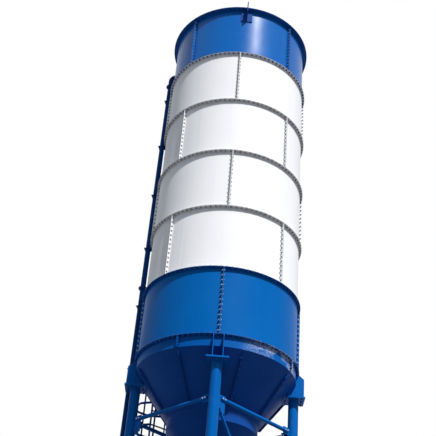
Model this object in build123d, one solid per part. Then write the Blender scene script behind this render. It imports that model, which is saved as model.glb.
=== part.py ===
from build123d import *
import os
from math import atan2, cos, degrees, hypot, radians, sin, sqrt, tan

# Bolted cement silo on four tubular legs.
# Millimetres, +Z up, origin on the ground below the centre of the shell.
# The front is -Y. An azimuth is turned from the front towards +X.
# Rolled sheets and tubes are drawn with flat sides, to keep the facets few.

# Shell
shell_radius = 1580
shell_sides = 32
sheet_thickness = 4
course_names = [
    "base_course", "second_course", "third_course",
    "fourth_course", "fifth_course", "top_course",
]
course_height = 1440
panels_in_course = 4
flange_reach = 60
flange_thickness = 8
seam_gap = 3
belly_height = 7500

# Roof
roof_slope = 12
roof_sheet = 4
roof_cap_radius = 70
rim_reach = 100
rim_thickness = 10
rim_overhang = 20
round_sides = 16
manhole_radius = 300
manhole_wall = 6
manhole_height = 140
manhole_distance = 900
manhole_azimuth = -142
cover_overlap = 25
cover_thickness = 6
cover_lip = 40

# Lifting lugs on the top course
lug_width = 260
lug_height = 370
lug_plate = 16
lug_rib = 20
lug_rib_reach = 210
lug_rib_taper = 210
lug_ear_height = 90
lug_ear_width = 105
lug_eye_radius = 30
lug_eye_height = 30
lug_eye_inset = 55
lug_azimuths = [3, 183]

# Ring beam and hopper
beam_height = 230
beam_thickness = 8
beam_seam_azimuth = -28
hopper_slope = 53
hopper_sheet = 6
hopper_panels = 8
hopper_collar = 40
hopper_seam_reach = 50
lower_hopper_radius = 876
lower_hopper_ring = 200
ring_panels = 16
outlet_radius = 150
outlet_wall = 8
outlet_length = 150
outlet_flange_reach = 70
outlet_flange_thickness = 16
outlet_bolt_circle = 195
outlet_bolts = 8
outlet_hole_radius = 11

# Legs and their brackets
leg_names = ["front_leg", "right_leg", "back_leg", "left_leg"]
leg_inset = 35
leg_radius = 100
leg_sides = 16
leg_wall = 10
bracket_drop = 510
bracket_plate = 16
bracket_width = 420
gusset_spacing = 190
gusset_thickness = 12
gusset_reach = 160
gusset_chamfer = 90
head_plate = 16
base_width = 640
base_plate = 30
anchor_spacing = 500
anchor_hole_radius = 14

# Ties and diagonal braces between the legs
bar_sides = 6
tie_radius = 38
tie_wall = 4
top_tie_drop = 1180
middle_tie_height = 3400
base_tie_height = 480
brace_radius = 26
brace_wall = 4
plate_thickness = 10
plate_reach = 180
plate_short = 70
plate_long = 260
tie_start = 60
brace_start = 205

# Fill pipe
pipe_radius = 57
pipe_wall = 5
pipe_sides = 12
bend_steps = 5
pipe_standoff = 140
pipe_azimuth = -99.2
pipe_foot_height = 1000
pipe_joint_rise = 1880
pipe_top_below_rim = 940
inlet_below_rim = 600
pipe_flange_radius = 95
pipe_flange_thickness = 14
coupling_radius = 72
coupling_length = 90
clamp_width = 160
clamp_thickness = 8
clamp_cover = 24

# Ladder and cage
ladder_azimuth = -142
ladder_standoff = 160
stringer_spacing = 500
stringer_depth = 60
stringer_thickness = 8
rung_width = 24
rung_pitch = 300
ladder_foot = 300
ladder_above_rim = 1000
cage_bar = 6
hoop_flats = 7
hoop_flat_angle = 40
hoop_height = 50
hoop_pitch = 480
cage_start = 2400
strap_width = 40
strap_thickness = 5
strap_angles = [-80, -40, 0, 40, 80]
arm_width = 50
arm_thickness = 8

fit_gap = 0.3

rim_height = belly_height + len(course_names) * course_height
leg_circle = shell_radius - leg_inset
beam_bottom = belly_height - beam_height
hopper_top_radius = shell_radius - beam_thickness - fit_gap
hopper_bottom = beam_bottom - (hopper_top_radius - lower_hopper_radius) * tan(radians(hopper_slope))
lower_hopper_top = hopper_bottom - lower_hopper_ring
outlet_height = lower_hopper_top - (lower_hopper_radius - outlet_radius) * tan(radians(hopper_slope))
bracket_bottom = belly_height - bracket_drop
leg_top = bracket_bottom - head_plate
top_tie_height = belly_height - top_tie_drop
ring_heights = [belly_height + i * course_height for i in range(len(course_names))]
pipe_circle = shell_radius + pipe_standoff
ladder_circle = shell_radius + ladder_standoff


def at_front(shape, azimuth):
    """Turn a shape that was built on the front to its azimuth."""
    return Rot(0, 0, azimuth) * shape


def facing(shape, azimuth):
    """Turn a shape that was built on +X to its azimuth."""
    return Rot(0, 0, azimuth - 90) * shape


def many_sided(radius, sides):
    """A regular outline with the middle of one side at radius on +X."""
    half = radians(180 / sides)
    reach = radius / cos(half)
    corners = [half * (2 * i + 1) for i in range(sides)]
    return make_face(Polyline(*[(reach * cos(a), reach * sin(a)) for a in corners], close=True))


def prism(radius, sides, low, high):
    return Pos(0, 0, low) * extrude(many_sided(radius, sides), high - low)


def tube(radius, wall, sides, low, high):
    return prism(radius, sides, low, high) - prism(radius - wall, sides, low, high)


def frustum(low_radius, high_radius, sides, low, high):
    """A flat-sided cone between two heights, closed by plane faces."""
    half = radians(180 / sides)

    def corner(radius, height, index):
        reach = radius / cos(half)
        a = half * (2 * index + 1)
        return reach * cos(a), reach * sin(a), height

    faces = [Pos(0, 0, low) * many_sided(low_radius, sides), Pos(0, 0, high) * many_sided(high_radius, sides)]
    for i in range(sides):
        faces.append(make_face(Polyline(
            corner(low_radius, low, i), corner(low_radius, low, i + 1),
            corner(high_radius, high, i + 1), corner(high_radius, high, i), close=True)))
    return Solid(Shell(faces))


def folded_sheet(points, turn):
    """Carry an outline of radius and height round the silo's axis, centred on +X.

    The flats are those of the shell, and the two ends stand half a seam gap
    inside the planes that divide the panels.
    """
    flat = 360 / shell_sides
    radius, height = points[0]
    reach = radius / cos(radians(flat / 2))

    def end(angle, inward):
        a = radians(angle)
        shift = inward * seam_gap / 2
        return radius * cos(a) - shift * sin(a), radius * sin(a) + shift * cos(a), height

    route = [end(-turn / 2, 1)]
    for i in range(round(turn / flat)):
        a = radians(-turn / 2 + (i + 0.5) * flat)
        route.append((reach * cos(a), reach * sin(a), height))
    route.append(end(turn / 2, -1))
    outline = make_face(Polyline(*[(r, 0, z) for r, z in points], close=True))
    outline = Rot(0, 0, -turn / 2) * (Pos(0, seam_gap / 2, 0) * outline)
    return sweep(outline, path=Polyline(*route), transition=Transition.RIGHT)


def block(x, y, z, at):
    """A box given by its sizes and its centre."""
    return Pos(*at) * Box(x, y, z)


def save(shape, name):
    export_step(shape, "parts/" + name + ".step")


def group(shapes):
    return Compound(children=list(shapes))


# Shell courses

def seam_flange(points, end_angle, inward):
    """An upright flange in the radial plane at one end of a panel."""
    plate = make_face(Polyline(*[(r, 0, z) for r, z in points], close=True))
    plate = extrude(plate, flange_thickness, dir=(0, inward, 0))
    return Rot(0, 0, end_angle) * (Pos(0, inward * seam_gap / 2, 0) * plate)


def shell_panel(bottom):
    """One rolled sheet with a bolting flange turned outwards on all four edges."""
    outer = shell_radius + flange_reach
    inner = shell_radius - sheet_thickness
    top = bottom + course_height
    turn = 360 / panels_in_course
    sheet = folded_sheet([
        (inner, bottom), (outer, bottom), (outer, bottom + flange_thickness),
        (shell_radius, bottom + flange_thickness), (shell_radius, top - flange_thickness),
        (outer, top - flange_thickness), (outer, top), (inner, top),
    ], turn)
    seam = [(inner, bottom), (outer, bottom), (outer, top), (inner, top)]
    return sheet + seam_flange(seam, turn / 2, -1) + seam_flange(seam, -turn / 2, 1)


def course(index):
    """Four panels; every second course is turned by half a panel."""
    step = 360 / panels_in_course
    start = step / 2 if index % 2 == 0 else 0
    panel = shell_panel(ring_heights[index])
    return [facing(panel, start + i * step) for i in range(panels_in_course)]


def inlet_hole():
    """The fill pipe's way through the top course."""
    depth = 4 * flange_reach
    hole = Rot(90, 0, 0) * prism(pipe_radius - pipe_wall, pipe_sides, -depth / 2, depth / 2)
    return at_front(Pos(0, -shell_radius, rim_height - inlet_below_rim) * hole, pipe_azimuth)


# Roof

def roof_height(radius):
    return rim_height + rim_thickness + (shell_radius - radius) * tan(radians(roof_slope))


def roof_solid(lift):
    """All below the roof's slope, lowered by lift, down to the rim."""
    return frustum(shell_radius, roof_cap_radius, shell_sides,
                   roof_height(shell_radius) - lift, roof_height(roof_cap_radius) - lift)


def roof():
    """A shallow cone on a flat rim that covers the top flange."""
    ledge = shell_radius - rim_overhang
    lift = roof_sheet / cos(radians(roof_slope))
    rim = prism(shell_radius + rim_reach, shell_sides, rim_height, rim_height + rim_thickness)
    inside = prism(ledge, shell_sides, rim_height, rim_height + rim_thickness)
    shape = rim + roof_solid(0) - roof_solid(lift) - inside
    way = prism(manhole_radius, round_sides, rim_height, manhole_top())
    return shape - at_front(Pos(0, -manhole_distance, 0) * way, manhole_azimuth)


def manhole_top():
    return roof_height(manhole_distance - manhole_radius) + manhole_height


def manhole():
    """A round neck whose foot follows the slope of the roof."""
    neck = tube(manhole_radius, manhole_wall, round_sides, rim_height, manhole_top())
    neck = at_front(Pos(0, -manhole_distance, 0) * neck, manhole_azimuth)
    lift = roof_sheet / cos(radians(roof_slope))
    foot = prism(shell_radius, shell_sides, rim_height - lift, roof_height(shell_radius) - lift)
    return neck - (roof_solid(lift) + foot)


def manhole_cover():
    """A lid with a turned-down lip."""
    outer = manhole_radius + cover_overlap
    bottom = manhole_top() - cover_lip
    lid = prism(outer, round_sides, bottom, manhole_top() + cover_thickness)
    lid -= prism(outer - cover_thickness, round_sides, bottom, manhole_top())
    return at_front(Pos(0, -manhole_distance, 0) * lid, manhole_azimuth)


def lifting_lug():
    """A backing plate on the shell with a rib that rises past the rim and carries the eye."""
    top = rim_height - flange_thickness
    bottom = top - lug_height
    tip = shell_radius + lug_rib_reach
    ear = rim_height + lug_ear_height
    plate = block(lug_width, lug_plate + sheet_thickness, lug_height,
                  (0, -shell_radius - lug_plate / 2, (top + bottom) / 2))
    outline = make_face(Polyline(
        (0, -shell_radius, bottom), (0, -shell_radius - lug_plate, bottom),
        (0, -tip, rim_height - lug_rib_taper), (0, -tip, ear), (0, -tip + lug_ear_width, ear),
        (0, -tip + lug_ear_width, top), (0, -shell_radius, top), close=True))
    rib = extrude(outline, lug_rib / 2, dir=(1, 0, 0), both=True)
    eye = Rot(0, 90, 0) * Cylinder(lug_eye_radius, 2 * lug_rib)
    rib -= Pos(0, -tip + lug_eye_inset, rim_height + lug_eye_height) * eye
    return plate + rib


# Ring beam, hopper and outlet

def ring_beam():
    """The beam under the shell, in four lengths with bolting flanges on top and at the ends."""
    outer = shell_radius + flange_reach
    inner = shell_radius - beam_thickness
    top = belly_height
    turn = 360 / panels_in_course
    length = folded_sheet([
        (inner, beam_bottom), (shell_radius, beam_bottom), (shell_radius, top - flange_thickness),
        (outer, top - flange_thickness), (outer, top), (inner, top),
    ], turn)
    seam = [(inner, beam_bottom), (outer, beam_bottom), (outer, top), (inner, top)]
    length += seam_flange(seam, turn / 2, -1)
    length += seam_flange(seam, -turn / 2, 1)
    start = beam_seam_azimuth + turn / 2
    return [facing(length, start + i * turn) for i in range(panels_in_course)]


def cone_radius(height):
    """Outer radius of the hopper at a height."""
    return hopper_top_radius - (beam_bottom - height) / tan(radians(hopper_slope))


hopper_wall = hopper_sheet / sin(radians(hopper_slope))


def hopper():
    """Cone panels, each with a collar inside the ring beam and flanged seams."""
    collar_top = beam_bottom + hopper_collar
    turn = 360 / hopper_panels
    sheet = folded_sheet([
        (hopper_top_radius, collar_top), (hopper_top_radius, beam_bottom),
        (lower_hopper_radius, hopper_bottom), (lower_hopper_radius - hopper_wall, hopper_bottom),
        (hopper_top_radius - hopper_sheet, beam_bottom), (hopper_top_radius - hopper_sheet, collar_top),
    ], turn)
    out = hopper_seam_reach / sin(radians(hopper_slope))
    high = beam_bottom - out
    low = hopper_bottom + out
    seam = [
        (cone_radius(high) - hopper_wall / 2, high), (cone_radius(high) + out, high),
        (cone_radius(low) + out, low), (cone_radius(low) - hopper_wall / 2, low),
    ]
    panel = sheet + seam_flange(seam, turn / 2, -1) + seam_flange(seam, -turn / 2, 1)
    start = beam_seam_azimuth + turn / 2
    return [facing(panel, start + turn * i) for i in range(hopper_panels)]


def in_panels(shape, count):
    """Part a shape round the silo's axis into equal panels, half a clearance back from each weld."""
    turn = 360 / count
    reach = 4 * shell_radius
    half = radians(turn / 2)
    back = fit_gap / 2 / sin(half)
    wedge = make_face(Polyline(
        (back, 0), (back + reach, reach * tan(half)), (back + reach, -reach * tan(half)), close=True))
    wedge = extrude(wedge, belly_height)
    return [facing(shape & facing(wedge, 90 + turn * i), beam_seam_azimuth + turn / 2) for i in range(count)]


def hopper_ring():
    """The upright ring between the two cones, rolled from short panels."""
    inside = lower_hopper_radius - hopper_wall
    shape = prism(lower_hopper_radius, shell_sides, lower_hopper_top, hopper_bottom)
    shape -= prism(inside, shell_sides, lower_hopper_top, hopper_bottom)
    return in_panels(shape, ring_panels)


def lower_hopper():
    """The cone below the ring, from as many panels as the cone above it."""
    inside = lower_hopper_radius - hopper_wall
    shape = frustum(outlet_radius, lower_hopper_radius, shell_sides, outlet_height, lower_hopper_top)
    shape -= frustum(outlet_radius - hopper_wall, inside, shell_sides, outlet_height, lower_hopper_top)
    return in_panels(shape, hopper_panels)


def outlet_neck():
    """A short pipe with a drilled flange for the valve."""
    bottom = outlet_height - outlet_length
    flange = outlet_radius + outlet_flange_reach
    neck = tube(outlet_radius, outlet_wall, round_sides, bottom, outlet_height)
    neck += tube(flange, flange - outlet_radius, round_sides, bottom, bottom + outlet_flange_thickness)
    hole = Cylinder(outlet_hole_radius, 4 * outlet_flange_thickness)
    for spot in PolarLocations(outlet_bolt_circle, outlet_bolts):
        neck -= Pos(0, 0, bottom) * spot * hole
    return neck


# Legs

def body_envelope():
    """Everything inside the outer face of the ring beam and the hopper."""
    low = bracket_bottom - 2 * bracket_plate
    shape = prism(shell_radius, shell_sides, beam_bottom, belly_height)
    shape += frustum(cone_radius(low), hopper_top_radius, shell_sides, low, beam_bottom)
    return facing(shape, beam_seam_azimuth)


def leg_bracket(envelope):
    """Two gussets under the ring beam's flange on a square bolting plate."""
    top = belly_height - flange_thickness
    plate_top = bracket_bottom + bracket_plate
    outer = shell_radius + gusset_reach
    edge = shell_radius + flange_reach
    outline = make_face(Polyline(
        (0, -leg_circle + bracket_width / 2, plate_top), (0, -outer, plate_top),
        (0, -outer, top - gusset_chamfer), (0, -edge, top),
        (0, -leg_circle + bracket_width / 2, top), close=True))
    gusset = extrude(outline, gusset_thickness / 2, dir=(1, 0, 0), both=True)
    plate = block(bracket_width, bracket_width, bracket_plate,
                  (0, -leg_circle, bracket_bottom + bracket_plate / 2))
    shape = plate
    for side in (-1, 1):
        shape += Pos(side * gusset_spacing / 2, 0, 0) * gusset
    return shape - envelope


def leg_tube():
    return Pos(0, -leg_circle, 0) * tube(leg_radius, leg_wall, leg_sides, base_plate, leg_top)


def leg_head(envelope):
    """A square plate on the tube, cut back where the hopper passes."""
    plate = block(bracket_width, bracket_width, head_plate,
                  (0, -leg_circle, leg_top + head_plate / 2))
    return plate - envelope


def leg_base():
    """A square foot with four anchor holes."""
    foot = block(base_width, base_width, base_plate, (0, -leg_circle, base_plate / 2))
    hole = Cylinder(anchor_hole_radius, 4 * base_plate)
    for spot in GridLocations(anchor_spacing, anchor_spacing, 2, 2):
        foot -= Pos(0, -leg_circle, 0) * spot * hole
    return foot


# Ties, braces and the plates that hold them.
# A bay is drawn from one leg to the next along X, with Y across it.

bay_length = leg_circle * sqrt(2)
tie_heights = [base_tie_height, middle_tie_height, top_tie_height]


def in_bay(shape, bay):
    """Place a bay's shape between leg number bay and the next one."""
    return at_front(Pos(0, -leg_circle, 0) * (Rot(0, 0, 45) * shape), bay * 90)


def slotted_tube(length, radius, wall, slot_length):
    """A tube along X from the origin, slotted at both ends for its plates."""
    bar = Rot(0, 90, 0) * tube(radius, wall, bar_sides, 0, length)
    for middle in (slot_length / 2, length - slot_length / 2):
        bar -= block(slot_length, plate_thickness + 2 * fit_gap, 4 * radius, (middle, 0, 0))
    return bar


def tie(height):
    start = leg_radius + tie_start
    slot = plate_reach - tie_start + fit_gap
    return Pos(start, 0, height) * slotted_tube(bay_length - 2 * start, tie_radius, tie_wall, slot)


def plate_exit(angle):
    """Distance along a brace, from the leg's axis, at which it is clear of its plate."""
    slope = radians(angle)
    side = leg_radius + plate_reach
    past_side = side * cos(slope) + (brace_radius + side * sin(slope)) * tan(slope)
    low_side = (plate_long * cos(slope) + brace_radius) / sin(slope)
    past_end = low_side * cos(slope) + plate_long * sin(slope)
    return min(past_side, past_end)


def brace(high, low, falling):
    """A diagonal between two tie levels, falling or rising along the bay."""
    drop = high - low
    length = hypot(bay_length, drop)
    angle = degrees(atan2(drop, bay_length))
    slot = plate_exit(angle) - brace_start + fit_gap
    bar = Pos(brace_start, 0, 0) * slotted_tube(
        length - 2 * brace_start, brace_radius, brace_wall, slot)
    if falling:
        return Pos(0, 0, high) * (Rot(0, angle, 0) * bar)
    return Pos(0, 0, low) * (Rot(0, -angle, 0) * bar)


def tie_plate(height, below, above, far_end):
    """A plate welded to a leg, in the bay's plane."""
    plate = block(plate_reach, plate_thickness, above + below,
                  (leg_radius + plate_reach / 2, 0, height + (above - below) / 2))
    if far_end:
        plate = Pos(bay_length, 0, 0) * (Rot(0, 0, 180) * plate)
    return plate


def bay_plates():
    """Near leg, then far leg: low, middle and high level."""
    base, middle, top = tie_heights
    return [
        tie_plate(base, plate_short, plate_long, False),
        tie_plate(middle, plate_short, plate_short, False),
        tie_plate(top, plate_long, plate_short, False),
        tie_plate(base, plate_short, plate_short, True),
        tie_plate(middle, plate_long, plate_long, True),
        tie_plate(top, plate_short, plate_short, True),
    ]


# Fill pipe

def pipe_flange(low):
    """A bolting ring round the pipe, from its lower face up."""
    wall = pipe_flange_radius - pipe_radius + pipe_wall
    return tube(pipe_flange_radius, wall, pipe_sides, low, low + pipe_flange_thickness)


def pipe_run(low, high, low_flange, high_flange):
    """A straight length with a bolting flange at the ends that need one."""
    run = tube(pipe_radius, pipe_wall, pipe_sides, low, high)
    if low_flange:
        run += pipe_flange(low)
    if high_flange:
        run += pipe_flange(high - pipe_flange_thickness)
    return at_front(Pos(0, -pipe_circle, 0) * run, pipe_azimuth)


pipe_foot = pipe_foot_height + coupling_length
pipe_joint = belly_height + pipe_joint_rise
pipe_top = rim_height - pipe_top_below_rim
inlet_height = rim_height - inlet_below_rim


def pipe_elbow():
    """A flanged riser that bends through a right angle into the top course."""
    bend = pipe_standoff
    route = [(0, -pipe_circle, pipe_top)]
    for i in range(bend_steps):
        a = radians(90 * (i + 0.5) / bend_steps)
        reach = bend / cos(radians(45 / bend_steps))
        route.append((0, -pipe_circle + bend - reach * cos(a), inlet_height - bend + reach * sin(a)))
    route.append((0, -shell_radius + flange_reach, inlet_height))
    section = Pos(0, -pipe_circle, pipe_top) * (
        many_sided(pipe_radius, pipe_sides) - many_sided(pipe_radius - pipe_wall, pipe_sides))
    elbow = sweep(section, path=Polyline(*route), transition=Transition.RIGHT)
    elbow += Pos(0, -pipe_circle, 0) * pipe_flange(pipe_top)
    core = prism(shell_radius, shell_sides, pipe_top, rim_height)
    return at_front(elbow, pipe_azimuth) - core


def pipe_coupling():
    """The hose coupling at the foot of the fill pipe."""
    wall = coupling_radius - pipe_radius + pipe_wall
    body = tube(coupling_radius, wall, pipe_sides, pipe_foot_height, pipe_foot)
    for side in (-1, 1):
        body += block(coupling_length / 2, coupling_length / 4, coupling_length / 4,
                      (side * (coupling_radius + coupling_length / 8), 0, pipe_foot - coupling_length / 2))
    return at_front(Pos(0, -pipe_circle, 0) * body, pipe_azimuth)


def pipe_clamp(ring):
    """A plate bolted under a ring joint, with the pipe passed through it."""
    top = ring - flange_thickness
    bottom = top - clamp_thickness
    tip = pipe_circle + pipe_radius + clamp_cover
    clamp = block(clamp_width, tip - shell_radius, clamp_thickness,
                  (0, -(shell_radius + tip) / 2, (top + bottom) / 2))
    clamp -= Pos(0, -pipe_circle, 0) * prism(pipe_radius + fit_gap, pipe_sides, bottom, top)
    turned = beam_seam_azimuth if ring == belly_height else 0
    core = facing(prism(shell_radius, shell_sides, bottom, top), turned)
    return at_front(clamp, pipe_azimuth) - core


# Ladder

ladder_top = rim_height + ladder_above_rim
cage_end = stringer_spacing / 2 + stringer_thickness / 2 + fit_gap
hoop_corner = cage_end / sin(radians(hoop_flats * hoop_flat_angle / 2))
cage_inside = hoop_corner * cos(radians(hoop_flat_angle / 2))
cage_centre = -hoop_corner * cos(radians(hoop_flats * hoop_flat_angle / 2))


def on_ladder(shape):
    """Place a shape built with Y=0 in the ladder's plane and the climber at -Y."""
    return at_front(Pos(0, -ladder_circle, 0) * shape, ladder_azimuth)


def stringers():
    """The two flat uprights."""
    length = ladder_top - ladder_foot
    return [on_ladder(block(stringer_thickness, stringer_depth, length,
                            (side * stringer_spacing / 2, 0, ladder_foot + length / 2)))
            for side in (-1, 1)]


def rungs():
    """Square bars between the stringers."""
    width = stringer_spacing - stringer_thickness - 2 * fit_gap
    count = int((ladder_top - ladder_foot) // rung_pitch)
    return [on_ladder(block(width, rung_width, rung_width,
                            (0, 0, ladder_foot + (i + 0.5) * rung_pitch)))
            for i in range(count)]


hoop_count = int((ladder_top - cage_start) // hoop_pitch) + 1


def cage_hoop(height):
    """A flat hoop, folded from stringer to stringer round the climber."""
    outer = hoop_corner + cage_bar / cos(radians(hoop_flat_angle / 2))
    angles = [radians(hoop_flat_angle * (i - hoop_flats / 2)) for i in range(hoop_flats + 1)]
    inside = [(hoop_corner * sin(a), -cage_centre - hoop_corner * cos(a)) for a in angles]
    outside = [(outer * sin(a), -cage_centre - outer * cos(a)) for a in reversed(angles)]
    hoop = extrude(make_face(Polyline(*(inside + outside), close=True)), hoop_height)
    return on_ladder(Pos(0, 0, height) * hoop)


def cage_strap(angle):
    """A flat upright inside the hoops."""
    height = (hoop_count - 1) * hoop_pitch + hoop_height
    strap = block(strap_width, strap_thickness, height,
                  (0, -cage_inside + strap_thickness / 2, cage_start + height / 2))
    return on_ladder(Pos(0, -cage_centre, 0) * (Rot(0, 0, angle) * strap))


def ladder_arm(height, root, side):
    """A flat arm that runs in from a stringer towards the silo."""
    tip = ladder_circle - stringer_depth / 2
    arm = block(arm_width, tip - root, arm_thickness,
                (side * stringer_spacing / 2, -(tip + root) / 2, height + arm_thickness / 2))
    return at_front(arm, ladder_azimuth)


def ladder_arms():
    """Arms on every ring joint, and longer ones to the ties of the bay below."""
    arms = []
    core = prism(shell_radius + fit_gap, shell_sides, belly_height, rim_height)
    for ring in ring_heights:
        for side in (-1, 1):
            arms.append(ladder_arm(ring + flange_thickness, shell_radius - flange_reach, side) - core)
    ladder_bay = 2
    reach = shell_radius / 2
    cut_length = 2 * bay_length
    bar = Rot(0, 90, 0) * prism(tie_radius, bar_sides, -cut_length / 2, cut_length / 2)
    behind = block(cut_length, cut_length, 8 * tie_radius, (0, cut_length / 2, 0))
    for height in (middle_tie_height, top_tie_height):
        bay = in_bay(Pos(bay_length / 2, 0, height) * (bar + behind), ladder_bay)
        for side in (-1, 1):
            arms.append(ladder_arm(height - arm_thickness / 2, reach, side) - bay)
    return arms


def main():
    os.makedirs("parts", exist_ok=True)
    for index, name in enumerate(course_names):
        panels = course(index)
        if name == "top_course":
            panels = [panel - inlet_hole() for panel in panels]
        save(group(panels), name)
    save(roof(), "roof")
    save(manhole(), "roof_manhole")
    save(manhole_cover(), "manhole_cover")
    lug = lifting_lug()
    core = prism(shell_radius, shell_sides, belly_height, rim_height)
    save(group([at_front(lug, azimuth) - core for azimuth in lug_azimuths]), "lifting_lugs")
    save(group(ring_beam()), "ring_beam")
    save(group(hopper()), "hopper")
    save(group(hopper_ring()), "hopper_ring")
    save(group(lower_hopper()), "lower_hopper")
    save(outlet_neck(), "outlet_neck")
    quarter = [90 * i for i in range(len(leg_names))]
    envelope = body_envelope()
    bracket = leg_bracket(envelope)
    save(group([at_front(bracket, a) for a in quarter]), "leg_brackets")
    for name, azimuth in zip(leg_names, quarter):
        save(at_front(leg_tube(), azimuth), name)
    head = leg_head(envelope)
    save(group([at_front(head, a) for a in quarter]), "leg_head_plates")
    save(group([at_front(leg_base(), a) for a in quarter]), "base_plates")
    bays = range(len(leg_names))
    for name, height in zip(["base_ties", "middle_ties", "top_ties"], tie_heights):
        save(group([in_bay(tie(height), bay) for bay in bays]), name)
    base, middle, top = tie_heights
    save(group([in_bay(brace(middle, base, False), bay) for bay in bays]), "lower_braces")
    save(group([in_bay(brace(top, middle, True), bay) for bay in bays]), "upper_braces")
    save(group([in_bay(plate, bay) for bay in bays for plate in bay_plates()]), "tie_plates")
    save(pipe_run(pipe_foot, pipe_joint, False, True), "fill_pipe_lower")
    save(pipe_run(pipe_joint, pipe_top, True, True), "fill_pipe_upper")
    save(pipe_elbow(), "fill_pipe_elbow")
    save(pipe_coupling(), "hose_coupling")
    save(group([pipe_clamp(ring) for ring in ring_heights]), "pipe_clamps")
    save(group(stringers()), "ladder")
    save(group(rungs()), "ladder_rungs")
    hoops = [cage_hoop(cage_start + i * hoop_pitch) for i in range(hoop_count)]
    save(group(hoops), "cage_hoops")
    save(group([cage_strap(angle) for angle in strap_angles]), "cage_straps")
    save(group(ladder_arms()), "ladder_arms")


main()
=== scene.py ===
from math import atan2, cos, degrees, hypot, radians, sin, sqrt, tan

import bmesh
import bpy
from mathutils import Matrix, Vector


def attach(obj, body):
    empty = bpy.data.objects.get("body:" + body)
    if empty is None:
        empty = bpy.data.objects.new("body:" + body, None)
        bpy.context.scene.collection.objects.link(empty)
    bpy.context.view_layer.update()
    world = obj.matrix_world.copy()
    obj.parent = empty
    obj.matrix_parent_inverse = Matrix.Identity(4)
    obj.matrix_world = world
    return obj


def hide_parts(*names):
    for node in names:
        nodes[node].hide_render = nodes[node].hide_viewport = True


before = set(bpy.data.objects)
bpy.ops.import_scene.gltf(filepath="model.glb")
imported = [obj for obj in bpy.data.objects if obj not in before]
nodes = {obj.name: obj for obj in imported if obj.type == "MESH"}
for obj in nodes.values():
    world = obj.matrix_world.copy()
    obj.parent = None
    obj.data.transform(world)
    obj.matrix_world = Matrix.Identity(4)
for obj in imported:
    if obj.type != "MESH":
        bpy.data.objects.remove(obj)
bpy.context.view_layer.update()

# Sizes in metres, as in the part's source. An azimuth is in degrees,
# from the front (-Y) towards +X.
shell_radius = 1.58
sheet_thickness = 0.004
course_names = [
    "base_course", "second_course", "third_course",
    "fourth_course", "fifth_course", "top_course",
]
course_height = 1.44
belly_height = 7.5
rim_height = belly_height + len(course_names) * course_height
flange_reach = 0.06
flange_thickness = 0.008
seam_gap = 0.003
rim_thickness = 0.01
rim_reach = 0.1
rim_inset = 0.02
roof_slope = radians(12)
roof_cap_radius = 0.07
manhole_radius = 0.3
manhole_wall = 0.006
manhole_neck = 0.14
lid_sheet = 0.006
lid_overhang = 0.025
lid_lip = 0.04
manhole_distance = 0.9
manhole_azimuth = -142
beam_bottom = 7.27
beam_thickness = 0.008
beam_seam_azimuth = -28
hopper_slope = radians(53)
hopper_top_radius = 1.5717
hopper_sheet = 0.006
hopper_collar = 0.04
hopper_seam_reach = 0.05
hopper_panels = 8
lower_hopper_radius = 0.876
lower_hopper_ring = 0.2
outlet_radius = 0.15
hopper_bottom = beam_bottom - (hopper_top_radius - lower_hopper_radius) * tan(hopper_slope)
lower_hopper_top = hopper_bottom - lower_hopper_ring
outlet_height = lower_hopper_top - (lower_hopper_radius - outlet_radius) * tan(hopper_slope)
leg_circle = 1.545
leg_radius = 0.1
bracket_bottom = 6.99
bracket_plate = 0.016
head_plate = 0.016
gusset_distance = 0.095
gusset_thickness = 0.012
base_plate = 0.03
anchor_spacing = 0.5
tie_heights = [0.48, 3.4, 6.32]
tie_radius = 0.038
brace_radius = 0.026
tie_start = 0.16
brace_start = 0.205
bay_length = leg_circle * sqrt(2)
pipe_azimuth = -99.2
pipe_circle = 1.72
pipe_radius = 0.057
pipe_foot = 1.09
pipe_joints = [9.38, 15.2]
pipe_bend = 0.14
inlet_height = 15.54
pipe_flange_radius = 0.095
pipe_flange = 0.014
ladder_azimuth = -142
ladder_circle = 1.74
cage_inside = 0.3718
cage_centre = 0.3031
cage_bar = 0.006
strap_bar = 0.006
hoop_height = 0.05
hoop_pitch = 0.48
cage_start = 2.4
hoop_count = 31
strap_angles = [-80, -40, 0, 40, 80]
ring_heights = [belly_height + i * course_height for i in range(len(course_names))]
base_tie, middle_tie, top_tie = tie_heights
brace_length = hypot(top_tie - middle_tie, bay_length)
hopper_wall = hopper_sheet / sin(hopper_slope)

# Bolts, each given by the width of its hexagon across the flats.
shell_bolt_flats = 0.03
tie_bolt_flats = 0.024
anchor_nut_flats = 0.036
pipe_bolt_flats = 0.019
pipe_bolt_circle = 0.076
pipe_bolt_count = 8
cage_bolt_flats = 0.008
ring_bolt_count = 96
flange_bolt_circle = 1.612
seam_bolt_count = 13
seam_bolt_margin = 0.075
seam_grip = 2 * flange_thickness + seam_gap
arm_spread = 8.75
arm_azimuths = [ladder_azimuth - arm_spread, ladder_azimuth + arm_spread]

# How many flat steps make up each round surface.
course_steps = 32
hopper_steps = 16
lower_hopper_steps = 96
roof_steps = 128
manhole_steps = 64
tube_sides = 48
pipe_sides = 32
bar_sides = 24

# Turns that lay an upright bolt or tube along X, and along Y.
lay_across = Matrix.Rotation(radians(90), 4, "Y")
lay_outward = Matrix.Rotation(radians(90), 4, "X")


# Shader groups

def shader_group(name, inputs, outputs):
    """An empty node group with named sockets; gives back the tree with its two ends."""
    tree = bpy.data.node_groups.new(name, "ShaderNodeTree")
    for label, kind, value in inputs:
        socket = tree.interface.new_socket(name=label, in_out="INPUT", socket_type=kind)
        socket.default_value = value
    for label, kind in outputs:
        tree.interface.new_socket(name=label, in_out="OUTPUT", socket_type=kind)
    return tree, tree.nodes.new("NodeGroupInput"), tree.nodes.new("NodeGroupOutput")


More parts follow.
